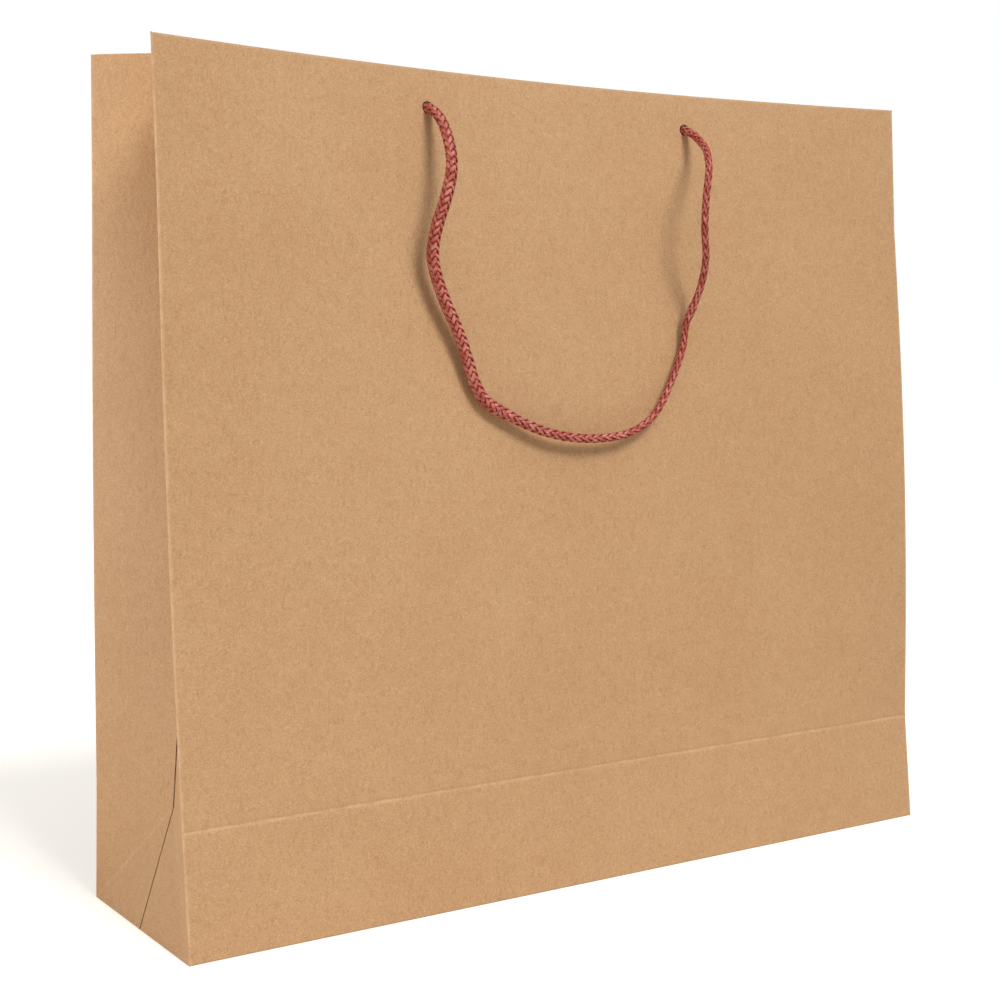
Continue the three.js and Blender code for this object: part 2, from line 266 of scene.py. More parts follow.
def punched(columns, rows, holes):
    """Where the corners of a grid's cells are, and the cells, with round holes cut out."""
    spots = {(i, j): (a, b) for i, a in enumerate(columns) for j, b in enumerate(rows)}
    cells, rims = [], {}
    for i in range(len(columns) - 1):
        for j in range(len(rows) - 1):
            cell = ((i, j), (i + 1, j), (i + 1, j + 1), (i, j + 1))
            centre = np.mean([spots[corner] for corner in cell], axis=0)
            near = [hole for hole in holes if math.dist(centre, hole) < HOLE_RADIUS]
            if near:
                rims.update({corner: near[0] for corner in cell})
            else:
                cells.append(cell)
    used = {corner: spots[corner] for cell in cells for corner in cell}
    for corner in used.keys() & rims.keys():
        hole = Vector(rims[corner])
        outwards = Vector(used[corner]) - hole
        used[corner] = tuple(hole + outwards.normalized() * HOLE_RADIUS)
    return used, cells


class Sheet:
    """Open grids of paper, joined where they meet.

    Each point keeps its distance from a crease across the wall (fold), a diagonal one, a
    folded edge and a cut edge, so that the material can paint them finer than the mesh:
    the creases and folded edges as painted highlights, the cut edge as painted shade.
    """

    def __init__(self):
        self.mesh = bmesh.new()
        self.layers = {name: self.mesh.verts.layers.float.new(name) for name in LINES}

    def grid(self, columns, rows, place, flip=False, holes=(), **lines_near):
        """place(column, row) gives each point; holes are (column, row) centres."""
        spots, cells = punched(columns, rows, holes)
        made = {}
        for corner, spot in spots.items():
            made[corner] = self.mesh.verts.new(place(*spot))
            for name, layer in self.layers.items():
                near = lines_near.get(name)
                made[corner][layer] = near(*spot) if near else FAR
        for cell in cells:
            corners = [made[corner] for corner in cell]
            self.mesh.faces.new(corners[::-1] if flip else corners)

    def finish(self, name, material, thickness=PAPER):
        """Makes it a solid piece, with its thickness behind the faces of the grids."""
        bmesh.ops.remove_doubles(self.mesh, verts=self.mesh.verts, dist=JOINED_WITHIN)
        bmesh.ops.dissolve_degenerate(self.mesh, edges=self.mesh.edges, dist=SHORTEST_EDGE)
        piece = new_piece(name, material)
        self.mesh.to_mesh(piece.data)
        self.mesh.free()
        solidify = piece.modifiers.new("paper", "SOLIDIFY")
        solidify.thickness = thickness
        solidify.offset = -1
        solidify.use_even_offset = True
        solidify.thickness_clamp = 1
        apply_modifiers(piece)
        smooth_shade(piece)
        return piece


def new_piece(name, material):
    piece = bpy.data.objects.new(name, bpy.data.meshes.new(name))
    piece.data.materials.append(material)
    bpy.context.scene.collection.objects.link(piece)
    return piece


def apply_modifiers(piece):
    seen = piece.evaluated_get(bpy.context.evaluated_depsgraph_get())
    data = bpy.data.meshes.new_from_object(seen)
    piece.modifiers.clear()
    old, piece.data = piece.data, data
    bpy.data.meshes.remove(old)


def smooth_shade(piece, angle=40):
    piece.data.shade_smooth()
    piece.data.set_sharp_from_angle(angle=math.radians(angle))


# ---------------------------------------------------------------- materials
LINE_ENDS = 3  # a crease line fades out at this many times its reach
LINE_WANDER = 0.9  # how far a crease line wanders to and fro, in millimetres
FIBRE_HEIGHT = 0.06 * MM
BOARD_FIBRE_HEIGHT = 0.2 * MM


class Nodes:
    """A short way to write a node material."""

    def __init__(self, name, **constants):
        """constants are inputs of the shader, such as Sheen_Weight."""
        self.material = bpy.data.materials.new(name)
        self.material.use_nodes = True
        self.tree = self.material.node_tree
        self.shader = self.tree.nodes["Principled BSDF"]
        for socket, value in constants.items():
            self.shader.inputs[socket.replace("_", " ")].default_value = value
        self.place = self.tree.nodes.new("ShaderNodeTexCoord").outputs["Object"]

    def link(self, source, target):
        self.tree.links.new(source, target)

    def attribute(self, name):
        node = self.tree.nodes.new("ShaderNodeAttribute")
        node.attribute_name = name
        return node.outputs["Fac"]

    def stretch(self, scale, source=None):
        node = self.tree.nodes.new("ShaderNodeMapping")
        node.inputs["Scale"].default_value = scale
        self.link(source or self.place, node.inputs["Vector"])
        return node.outputs["Vector"]

    def noise(self, scale, detail=3, roughness=0.55, stretch=(1, 1, 1), source=None):
        node = self.tree.nodes.new("ShaderNodeTexNoise")
        node.inputs["Scale"].default_value = scale
        node.inputs["Detail"].default_value = detail
        node.inputs["Roughness"].default_value = roughness
        self.link(self.stretch(stretch, source), node.inputs["Vector"])
        return node.outputs["Fac"]

    def ramp(self, source, *stops):
        node = self.tree.nodes.new("ShaderNodeValToRGB")
        elements = node.color_ramp.elements
        while len(elements) < len(stops):
            elements.new(0.5)
        for element, (position, value) in zip(elements, stops):
            element.position = position
            element.color = value if isinstance(value, tuple) else (value, value, value, 1)
        self.link(source, node.inputs["Fac"])
        return node.outputs["Color"]

    def mix(self, share, a, b):
        node = self.tree.nodes.new("ShaderNodeMix")
        node.data_type = "RGBA"
        for socket, value in zip((node.inputs["Factor"], node.inputs["A"], node.inputs["B"]),
                                 (share, a, b)):
            self.put(value, socket)
        return node.outputs["Result"]

    def painted_line(self, attribute, reach, strength, wander, broken):
        """A broken line of painted light along a crease: a painted highlight on a fold, painted
        shade on a cut edge. The attribute is the distance from it in mm.
        """
        distance = self.math("ABSOLUTE", self.math("ADD", self.attribute(attribute), wander), 0)
        share = self.math("DIVIDE", distance, LINE_ENDS * reach)
        line = self.ramp(share, (0.0, 1.0), (1 / LINE_ENDS, 0.45), (1.0, 0.0))
        return self.math("MULTIPLY", self.math("MULTIPLY", line, broken), strength)

    def math(self, operation, a, b):
        node = self.tree.nodes.new("ShaderNodeMath")
        node.operation = operation
        self.put(a, node.inputs[0])
        self.put(b, node.inputs[1])
        return node.outputs[0]

    def put(self, value, socket):
        if isinstance(value, bpy.types.NodeSocket):
            self.link(value, socket)
        else:
            socket.default_value = value

    def bump(self, height, distance):
        node = self.tree.nodes.new("ShaderNodeBump")
        node.inputs["Distance"].default_value = distance
        self.link(height, node.inputs["Height"])
        self.link(node.outputs["Normal"], self.shader.inputs["Normal"])


def colour(red, green, blue):
    """An sRGB colour given in 0 to 255, as the linear values that nodes take."""
    def linear(value):
        value /= 255
        return value / 12.92 if value <= 0.04045 else ((value + 0.055) / 1.055) ** 2.4
    return (linear(red), linear(green), linear(blue), 1)


# Each line painted on the paper, pale as a painted highlight along folds and edges and dark as
# painted shade along the cut edge: its reach in millimetres, its strength and its colour
CREASE_LIGHT_AND_SHADE = {
    "fold": (0.42, 0.48, colour(226, 192, 152)),
    "diagonal": (0.4, 0.3, colour(224, 190, 150)),
    "edge": (0.4, 0.52, colour(224, 188, 148)),
    "cut": (0.2, 0.75, colour(96, 58, 30)),
}


def kraft_material():
    """Unbleached paper with fine fibres and flecks, with painted highlights along its folds and
    painted shade along a cut edge.
    """
    n = Nodes("kraft_paper", Roughness=0.5, Specular_IOR_Level=0.45)
    cloud = n.noise(11, detail=3)
    mottle = n.noise(120, detail=4, roughness=0.6)
    weave = n.noise(520, detail=3, roughness=0.7, stretch=(1, 1, 0.45))
    grain = n.noise(1100, detail=3, roughness=0.8)
    base = n.mix(n.ramp(cloud, (0.35, 0.0), (0.65, 1.0)),
                 colour(185, 143, 101), colour(189, 148, 106))
    tone = n.mix(n.ramp(mottle, (0.4, 0.0), (0.75, 0.22)), base, colour(207, 168, 126))
    tone = n.mix(n.ramp(weave, (0.25, 0.42), (0.5, 0.0)), tone, colour(150, 109, 72))
    tone = n.mix(n.ramp(grain, (0.5, 0.0), (0.72, 0.5)), tone, colour(222, 186, 146))
    tone = n.mix(n.ramp(grain, (0.3, 0.46), (0.48, 0.0)), tone, colour(142, 100, 64))
    uneven = n.noise(90, detail=3)
    wander = n.math("MULTIPLY", n.math("SUBTRACT", uneven, 0.5), LINE_WANDER)
    broken = n.ramp(mottle, (0.35, 0.3), (0.6, 1.0))
    # pale painted highlights along the folds and edges, and dark painted shade along the cut edge
    # of the seam
    for attribute, (reach, strength, shade) in CREASE_LIGHT_AND_SHADE.items():
        tone = n.mix(n.painted_line(attribute, reach, strength, wander, broken), tone, shade)
    n.link(tone, n.shader.inputs["Base Color"])
    n.bump(weave, FIBRE_HEIGHT)
    return n.material


def greyboard_material():
    """Recycled board, with grey and brown fibres."""
    n = Nodes("greyboard", Roughness=0.9)
    mottle = n.noise(60, detail=5)
    fibre = n.noise(700, detail=4, roughness=0.7)
    tone = n.mix(mottle, colour(158, 150, 138), colour(176, 168, 156))
    tone = n.mix(n.ramp(fibre, (0.55, 0.0), (0.75, 0.6)), tone, colour(120, 112, 104))
    n.link(tone, n.shader.inputs["Base Color"])
    n.bump(fibre, BOARD_FIBRE_HEIGHT)
    return n.material


def cord_material():
    """Glossy polypropylene yarn, with painted highlights on the crowns of the strands and painted
    shade between them.
    """
    n = Nodes("braided_cord", Roughness=0.5, Specular_IOR_Level=0.32, Sheen_Weight=0.12,
              Sheen_Roughness=0.4, Sheen_Tint=colour(240, 170, 165))
    strand = n.tree.nodes.new("ShaderNodeUVMap")
    strand.uv_map = "strand"
    fibre = n.noise(9, detail=4, roughness=0.7, stretch=(1, 0.05, 1), source=strand.outputs["UV"])
    patch = n.noise(260, detail=2)
    painted_shade = n.attribute("painted_shade")
    tone = n.mix(n.ramp(fibre, (0.32, 0.0), (0.68, 1.0)),
                 colour(140, 42, 34), colour(200, 100, 84))
    tone = n.mix(n.ramp(patch, (0.42, 0.0), (0.72, 0.6)), tone, colour(238, 162, 142))
    # painted shade between and under the strands, least on their crowns
    tone = n.mix(n.ramp(painted_shade, (0.15, 0.0), (0.95, 1.0)), tone, colour(88, 18, 10))
    n.link(tone, n.shader.inputs["Base Color"])
    n.bump(fibre, FIBRE_HEIGHT)
    return n.material


KRAFT = kraft_material()
GREYBOARD = greyboard_material()
CORD = cord_material()


# ---------------------------------------------------------------- braided cord
STRANDS = 6  # each way round
STRAND_SIDES = 6
STRAND_WIDE, STRAND_THICK = 0.38, 0.17  # half sizes, as shares of the cord's radius
RIDE, SWING = 0.7, 0.17  # where a strand lies, and how far it goes over and under
CORE, CORE_SIDES = 0.58, 8
WAVE_STEEPNESS = 1.5
WAVE_START = 0.5  # of a crossing, so that a strand changes sides between two of them
BRAID_PITCH = 30 * MM  # of cord for one turn of a strand, where the cord is at its full width
BRAID_SHARP_ANGLE = 50
STRAND_UV_SHIFT = 7  # keeps the fibres of one strand from lining up with the next one's

# Painted shade on a strand where it passes under others and at its two edges, and less on its
# crown, which reads as a painted highlight
UNDER_SHADE, FLANK_SHADE, CROWN_LIGHT = 0.3, 0.75, 0.35


def catmull_rom(points, per_span=24):
    """A smooth curve through given points."""
    ends = [points[0] * 2 - points[1], *points, points[-1] * 2 - points[-2]]
    curve = []
    for p0, p1, p2, p3 in zip(ends, ends[1:], ends[2:], ends[3:]):
        for n in range(per_span):
            t = n / per_span
            curve.append(0.5 * (2 * p1 + (p2 - p0) * t + (2 * p0 - 5 * p1 + 4 * p2 - p3) * t ** 2
                                + (3 * p1 - p0 - 3 * p2 + p3) * t ** 3))
    return np.array([*curve, points[-1]])


def even_steps(curve, step):
    """The same curve as points one step apart."""
    gaps = np.linalg.norm(np.diff(curve, axis=0), axis=1)
    along = np.concatenate([[0], np.cumsum(gaps)])
    count = max(2, round(along[-1] / step))
    wanted = np.linspace(0, along[-1], count + 1)
    return np.stack([np.interp(wanted, along, curve[:, k]) for k in range(3)], axis=1)


def relaxed(curve, rounds):
    """Evens out small kinks, with both ends held."""
    curve = curve.copy()
    for _ in range(rounds):
        curve[1:-1] = (curve[:-2] + 2 * curve[1:-1] + curve[2:]) / 4
    return curve


def unit(vectors):
    return vectors / np.linalg.norm(vectors, axis=-1, keepdims=True)


def frames(curve, outward):
    """Outward and sideways directions along a curve, turning as little as they can."""
    tangent = unit(np.gradient(curve, axis=0))
    out = np.zeros_like(curve)
    middle = len(curve) // 2
    start = np.array(outward, float)
    out[middle] = unit(start - tangent[middle] * (start @ tangent[middle]))
    for order in (range(middle + 1, len(curve)), range(middle - 1, -1, -1)):
        last = middle
        for k in order:
            out[k] = unit(out[last] - tangent[k] * (out[last] @ tangent[k]))
            last = k
    return out, np.cross(tangent, out)


def around(sides):
    """Angles round a ring, starting half a side from 0."""
    return 2 * math.pi * (np.arange(sides) + 0.5) / sides


def rings(curve, first, second, wide, thick, sides):
    """Oval rings along a curve, wide in one direction and thick in the other."""
    angles = around(sides)[:, None]
    return curve[:, None] + first[:, None] * np.cos(angles) * wide \
        + second[:, None] * np.sin(angles) * thick


def strand(curve, out, side, turned, turn, n, radius, widths):
    """One strand of a braid: its rings, and how much painted shade each of their points takes, 0
    to 1.
    """
    angle = 2 * math.pi * (turn * turned + n / STRANDS)[:, None]
    crossings = 2 * STRANDS * turned
    wave = np.cos(math.pi / 2 * (2 * n + turn * crossings - WAVE_START))[:, None]
    lift = turn * np.clip(WAVE_STEEPNESS * wave, -1, 1)
    across = out * np.cos(angle) * widths[:, :1] + side * np.sin(angle) * widths[:, 1:]
    centre = curve + across * radius * (RIDE + SWING * lift)
    forward = unit(np.gradient(centre, axis=0))
    radial = unit(across - forward * np.sum(across * forward, axis=1, keepdims=True))
    flank = np.cross(forward, radial)
    girth = radius * widths.mean(axis=1)[:, None, None]
    tube = rings(centre, flank, radial, STRAND_WIDE * girth, STRAND_THICK * girth, STRAND_SIDES)
    angles = around(STRAND_SIDES)
    painted_shade = UNDER_SHADE * (1 - lift) + FLANK_SHADE * np.cos(angles) ** 2
    return tube, np.clip(painted_shade - CROWN_LIGHT * np.sin(angles), 0, 1)


def braid(name, curve, outward, radius, widths):
    """A tubular braid along a curve, each strand passing over two others and under two.

    widths holds how thick it is outwards and sideways at each point, as shares of its
    radius: where it is pulled thin its strands lie steeper.
    """
    out, side = frames(curve, outward)
    step = np.linalg.norm(curve[1] - curve[0])
    turned = np.cumsum(step * widths.mean(axis=1) / BRAID_PITCH)
    tubes = [strand(curve, out, side, turned, turn, n, radius, widths)
             for turn in (-1, 1) for n in range(STRANDS)]
    thick, wide = (CORE * radius * widths[:, None, k:k + 1] for k in (0, 1))
    core = rings(curve, out, side, thick, wide, CORE_SIDES)
    # the core between the strands is painted fully in shade
    tubes.append((core, np.ones(core.shape[:2])))
    piece = tubes_piece(name, tubes)
    add_strand_uv(piece, len(curve), step)
    return piece


def tubes_piece(name, tubes):
    """One piece of cord from several tubes, each with the painted shade of its points."""
    points, faces, painted_shade = [], [], []
    for tube, painted_shades in tubes:
        faces += tube_faces(len(points), *tube.shape[:2])
        points.extend(map(tuple, tube.reshape(-1, 3)))
        painted_shade.extend(painted_shades.ravel())
    piece = new_piece(name, CORD)
    piece.data.from_pydata(points, [], faces)
    smooth_shade(piece, BRAID_SHARP_ANGLE)
    attribute = piece.data.attributes.new("painted_shade", "FLOAT", "POINT")
    attribute.data.foreach_set("value", np.array(painted_shade, np.float32))
    return piece


def tube_faces(first, count, sides):
    """Quads between the rings of a tube, and a cap on each end."""
    faces = []
    for k in range(count - 1):
        for m in range(sides):
            a, b = first + k * sides + m, first + k * sides + (m + 1) % sides
            faces.append((a, b, b + sides, a + sides))
    last = first + (count - 1) * sides
    faces.append(tuple(first + m for m in reversed(range(sides))))
    faces.append(tuple(last + m for m in range(sides)))
    return faces


def add_strand_uv(piece, count, step):
    """Around and along each strand, so that its fibres run along it."""
    values = np.zeros((len(piece.data.vertices), 2))
    size = count * STRAND_SIDES
    for n in range(2 * STRANDS):
        block = values[n * size:(n + 1) * size]
        block[:, 0] = n + np.tile(np.arange(STRAND_SIDES), count) / STRAND_SIDES
        block[:, 1] = n * STRAND_UV_SHIFT + np.arange(count).repeat(STRAND_SIDES) * step / MM
    corners = np.zeros(len(piece.data.loops), np.int32)
    piece.data.loops.foreach_get("vertex_index", corners)
    uv = piece.data.uv_layers.new(name="strand")
    uv.data.foreach_set("uv", values[corners].astype(np.float32).ravel())


# ---------------------------------------------------------------- handles
CORD_STEP = 0.75 * MM
CORD_END_DEPTH = STACK + 1 * MM
CORD_ROUNDS, KNOT_ROUNDS = 24, 4  # how much each curve is evened out

# The soft braid is flat and wide on one leg, and drawn thin on the other. Each row is a share
# of its length, with its thickness off the face and across it, as shares of its radius
CORD_WIDTHS = (
    (0, 0.95, 0.95), (0.05, 0.95, 1.12), (0.12, 0.9, 1.36), (0.34, 0.92, 1.3),
    (0.372, 1.0, 1.34), (0.4, 0.88, 1.08), (0.5, 0.82, 0.92), (0.6, 0.76, 0.78),
    (0.72, 0.74, 0.74), (0.733, 0.86, 1.06), (0.746, 0.76, 0.76), (0.93, 0.78, 0.78),
    (1, 0.9, 0.9),
)
KNOT_WIDTHS = ((0, 1, 1), (0.08, 0.8, 0.8), (0.7, 0.8, 0.8), (0.85, 1, 1), (1, 1.12, 1.12))

# A trefoil that stands off the hem, from a first angle to a last; and its tail, in millimetres
KNOT = SimpleNamespace(size=1.42 * MM, flatness=1.35, stand_off=5.2 * MM, steps=30,
                       first=0.5 * math.pi - 0.35, last=2.5 * math.pi - 1.05,
                       tail=((0.3, 0.5, -4), (0.2, 0.8, -9), (-0.4, 0.4, -14)))
KNOT_SEAT = STACK + 0.4 * MM


def hole_xs(wall):
    return [-wall.side * HANDLE_ROUTE[n][0] * MM for n in (0, -1)]


def route_point(wall, x, drop, out):
    """The back handle is the same handle turned round."""
    point = wall_point(wall, -wall.side * x * MM, HOLE_LEVEL - drop * MM, -out * MM)
    return np.array(point)


def inside_point(wall, x, depth):
    point = wall_point(wall, -wall.side * x * MM, HOLE_LEVEL, depth)
    level = wall_point(wall, -wall.side * x * MM, HOLE_LEVEL).z
    return np.array((point.x, point.y, level))


def along_length(table, count):
    """A table's columns at even steps of the cord's length."""
    share = np.linspace(0, 1, count)
    places, *columns = zip(*table)
    return np.stack([np.interp(share, places, column) for column in columns], axis=1)


def handle_curve(wall):
    """From inside the wall, out at one hole, down, up and in at the other."""
    left, right = HANDLE_ROUTE[0][0], HANDLE_ROUTE[-1][0]
    points = [inside_point(wall, left, CORD_END_DEPTH), inside_point(wall, left, STACK / 2)]
    points += [route_point(wall, *place) for place in HANDLE_ROUTE]
    points += [inside_point(wall, right, STACK / 2), inside_point(wall, right, CORD_END_DEPTH)]
    curve = relaxed(even_steps(catmull_rom(points), CORD_STEP), CORD_ROUNDS)
    return even_steps(curve, CORD_STEP)


def add_handle(wall):
    curve = handle_curve(wall)
    cord = braid(f"{wall.name}_handle", curve, (0, wall.side, 0), CORD_DIAMETER / 2,
                 along_length(CORD_WIDTHS, len(curve)))
    knots = [add_knot(wall, x, name) for x, name in zip(hole_xs(wall), knot_names(wall))]
    ends = [f"{wall.name}_{name}_cord_end" for name in ENDS.values()]
    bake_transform(cord)
    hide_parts(f"{wall.name}_handle_cord", *ends)


def knot_names(wall):
    """The back handle is turned round, so it starts at the right."""
    names = tuple(ENDS.values())
    return names if wall is FRONT else names[::-1]


def trefoil(t, inward):
    """A point of a trefoil knot that lies flat against the wall."""
    return np.array((math.sin(t) + 2 * math.sin(2 * t), -inward * KNOT.flatness * math.sin(3 * t),
                     math.cos(t) - 2 * math.cos(2 * t)))


def knot_curve(hole, inward):
    """From the hole, round the knot and down its tail."""
    middle = hole + np.array((0, inward * KNOT.stand_off, 0))
    loop = [middle + trefoil(t, inward) * KNOT.size
            for t in np.linspace(KNOT.first, KNOT.last, KNOT.steps + 1)]
    tail = [loop[-1] + np.array((x, inward * y, z)) * MM for x, y, z in KNOT.tail]
    curve = catmull_rom([hole, *loop, *tail], per_span=6)
    return relaxed(even_steps(curve, CORD_STEP), KNOT_ROUNDS)


def add_knot(wall, x, name):
    """An overhand knot against the hem, with its tail hanging."""
    node = f"{wall.name}_{name}_knot"
    inward = -wall.side
    curve = knot_curve(np.array(wall_point(wall, x, HOLE_LEVEL, KNOT_SEAT)), inward)
    knot = braid(node + "_tied", curve, (0, inward, 0), CORD_DIAMETER / 2,
                 along_length(KNOT_WIDTHS, len(curve)))
    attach(knot, f"{wall.name}_wall")
    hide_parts(node)
    return knot


for wall in WALLS:
    add_handle(wall)


# ---------------------------------------------------------------- walls
HEM_START = RIM - RIM_FOLD + math.pi * RIM_FOLD  # along the sheet, past the fold at the rim
HEM_HOLE = HEM_START + RIM - RIM_FOLD - HOLE_LEVEL  # the hole's centre in the hem
CREST = RIM + 0.8 * MM  # the crown of the fold, along the sheet
CREST_SOFTNESS = 0.6  # millimetres added to the distance, which makes its painted highlight line fainter
PANEL_EDGE = HALF - CORNER
PAPER_STEP = 12 * MM
RIPPLE_HEIGHT = 0.7 * MM
RIPPLES_ACROSS, RIPPLES_UP = 7, 6  # in a metre
RIPPLE_CLEAR, RIPPLE_CLEAR_OF_RIM = 60 * MM, 40 * MM  # ripples are less this near a fold
CREASE_DEPTH, CREASE_REACH = 0.45 * MM, 1.3 * MM

# Reach and step of the finer grid lines at each feature
AT_HOLE = (5.6 * MM, 0.7 * MM)
AT_CORNER = (1.2 * MM, 0.2 * MM)
AT_CREST = (3.6 * MM, 0.4 * MM)
AT_CREASE = (3 * MM, 0.25 * MM)
AT_GUSSET_CREASE = (2.4 * MM, 0.4 * MM)

RIM_CARD = SimpleNamespace(low=RIM - 42 * MM, high=RIM - 1 * MM, edge=HALF - 5 * MM,
                           depth=0.75 * MM, thickness=1.2 * MM)


def over_the_rim(t, radius):
    """Level along the wall, and depth, of paper that folds over the rim and back down."""
    turn = (t - (RIM - radius)) / radius
    if turn <= 0:
        return t, 0
    if turn <= math.pi:
        return RIM - radius + radius * math.sin(turn), radius * (1 - math.cos(turn))
    return RIM - radius - (turn - math.pi) * radius, 2 * radius


def crease_dip(s):
    return CREASE_DEPTH * bump(s - FOOT, CREASE_REACH)


def ripple(x, s, seed):
    """A sheet of paper is never quite flat."""
    free = smooth((HALF - abs(x)) / RIPPLE_CLEAR) * smooth((s - FOOT) / RIPPLE_CLEAR)
    free *= smooth((RIM - s) / RIPPLE_CLEAR_OF_RIM)
    place = Vector((x * RIPPLES_ACROSS, s * RIPPLES_UP, seed))
    return RIPPLE_HEIGHT * free * noise.noise(place)


def near_side(x, s):
    """Distance from the folded edge at either end of a wall."""
    return away(PANEL_EDGE - abs(x))


def near_foot_crease(x, s):
    return away(s - FOOT)


def near_rim(x, t):
    """Distance from the fold at the rim, and outside the bag from the folded edges too."""
    from_crest = away(abs(t - CREST)) + CREST_SOFTNESS
    outside = over_the_rim(t, RIM_FOLD)[1] == 0
    return min(from_crest, near_side(x, t)) if outside else from_crest


def panel_point(wall, x, t):
    """A point of a wall's sheet, at t along it: up the outside, over the rim and down."""
    s, depth = over_the_rim(t, RIM_FOLD)
    if depth > 0:
        edge = mix(PANEL_EDGE, HALF - HEM_EDGE, depth / STACK)
        x = clamp(x, -edge, edge)
    ripples = ripple(x, s, wall.side) if t < RIM else 0
    return wall_point(wall, x, s, depth + crease_dip(t) + ripples)


def add_panel(wall):
    xs = hole_xs(wall)
    columns = lines(-PANEL_EDGE, PANEL_EDGE, PAPER_STEP, *((x, *AT_HOLE) for x in xs),
                    *((end * PANEL_EDGE, *AT_CORNER) for end in ENDS))
    rows = lines(FOOT, HEM_START + HEM, PAPER_STEP, (FOOT, *AT_CREASE), (HOLE_LEVEL, *AT_HOLE),
                 (CREST, *AT_CREST), (HEM_HOLE, *AT_HOLE))
    sheet = Sheet()
    sheet.grid(columns, rows, lambda x, t: panel_point(wall, x, t), flip=wall is BACK,
               holes=[(x, level) for x in xs for level in (HOLE_LEVEL, HEM_HOLE)],
               fold=near_foot_crease, edge=near_rim)
    panel = sheet.finish(f"{wall.name}_wall_paper", KRAFT)
    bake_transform(panel)
    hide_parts(f"{wall.name}_panel", f"{wall.name}_hem")


def add_rim_card(wall):
    """The board inside the hem, which the cords are drawn through."""
    xs = hole_xs(wall)
    columns = lines(-RIM_CARD.edge, RIM_CARD.edge, PAPER_STEP, *((x, *AT_HOLE) for x in xs))
    rows = lines(RIM_CARD.low, RIM_CARD.high, PAPER_STEP, (HOLE_LEVEL, *AT_HOLE))
    sheet = Sheet()
    sheet.grid(columns, rows, lambda x, s: wall_point(wall, x, s, RIM_CARD.depth),
               flip=wall is BACK, holes=[(x, HOLE_LEVEL) for x in xs])
    card = sheet.finish(f"{wall.name}_rim_card", GREYBOARD, RIM_CARD.thickness)
    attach(card, f"{wall.name}_wall")
    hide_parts(f"{wall.name}_rim_board")


# ---------------------------------------------------------------- gussets
FOLD_LIFT = 0.22 * MM  # how proud the cut edge at the seam stands
LIFT_FROM = 0.96  # of the way across half a gusset
CORNER_CROWN = 0.3  # the share of the corner's turn where its painted highlight line lies
WRAP_STEPS = 6
WRAP_SHARES = [n / WRAP_STEPS for n in range(WRAP_STEPS + 1)]

# Half a gusset runs from its corner, across 0, to the middle fold, across 1. The back half stops
# just short of the fold, over the tab that joins it to the front half
LAST_ACROSS = {"front": 1, "back": 0.992}
ACROSS_STEP = 0.08
AT_GUSSET_CORNER = (0.02, 0.01)
AT_SEAM = (0.03, 0.01)

GUSSET_HEM_START = RIM + 1.5 * MM  # along the sheet, past the fold at the rim
GUSSET_TURN_STEP = 0.3 * MM
GUSSET_HEM_GAP = 2.5 * MM  # from the last row of the fold to the first of the hem
GUSSET_HEM_ENDS = (0.12, 0.95)  # the hem is narrower than the half it is turned in from

# A lap behind the gusset's foot crease, which shows paper there when the walls open
LAP_COLUMNS = lines(0.06, 0.97, 0.07)
LAP_REACH = 2 * MM
LAP_DEPTH = PAPER + 0.15 * MM

TAB_COLUMNS = lines(1 - SEAM_TAB / FOOT, 0.998, 0.06)
TAB_DEPTH = 0.9 * MM
TAB_LOW, TAB_TOP = FOOT + 2 * LAP_REACH, RIM - HEM - 3 * MM
TAB_STEP = 20 * MM
SEAM_CLOSES = 10 * MM  # the halves close up over this much, and meet above the top of the tab


def across_lines(wall, step):
    last = LAST_ACROSS[wall.name]
    return lines(0, last, step, (0, *AT_GUSSET_CORNER), (last, *AT_SEAM))


def near_wrap(share, s):
    """Distance from the crown of the rounded corner."""
    return away((share - CORNER_CROWN) * 2 * CORNER)


def near_corner(across, s):
    return away(across * FOOT)


def near_cut(wall):
    """Distance from the cut edge of the half that has one."""
    last = LAST_ACROSS[wall.name]
    return lambda across, s: away((last - across) * FOOT) if wall is BACK else FAR


def cut_edge(wall, across):
    """The back sheet laps over the front one, and its cut edge stands a little proud."""
    return -FOLD_LIFT * smooth((across - LIFT_FROM) / (1 - LIFT_FROM)) if wall is BACK else 0


def gusset_sheet_point(wall, end, across, t):
    """A point of half a gusset's sheet, at t up it and then down inside its hem."""
    s, depth = over_the_rim(t, GUSSET_RIM_FOLD)
    last = LAST_ACROSS[wall.name]
    across *= mix(1, 1 / last, smooth((s - TAB_TOP + SEAM_CLOSES) / SEAM_CLOSES))
    if depth > 0:
        inner = depth / (2 * GUSSET_RIM_FOLD)
        first, final = GUSSET_HEM_ENDS
        across = clamp(across, mix(0, first, inner), mix(last, final, inner))
    return gusset_point(wall, end, across, s, depth + cut_edge(wall, across))


def add_tab(sheet, end, rows, flip):
    """The strip behind the seam."""
    sheet.grid(TAB_COLUMNS, rows, lambda a, s: gusset_point(BACK, end, a, s, TAB_DEPTH), flip=flip)


def hem_rows():
    """Rows round the fold at the gusset's rim, and down inside it."""
    turn = lines(RIM - GUSSET_RIM_FOLD, GUSSET_HEM_START, GUSSET_TURN_STEP)
    return turn + lines(GUSSET_HEM_START + GUSSET_HEM_GAP, GUSSET_HEM_START + HEM, PAPER_STEP)


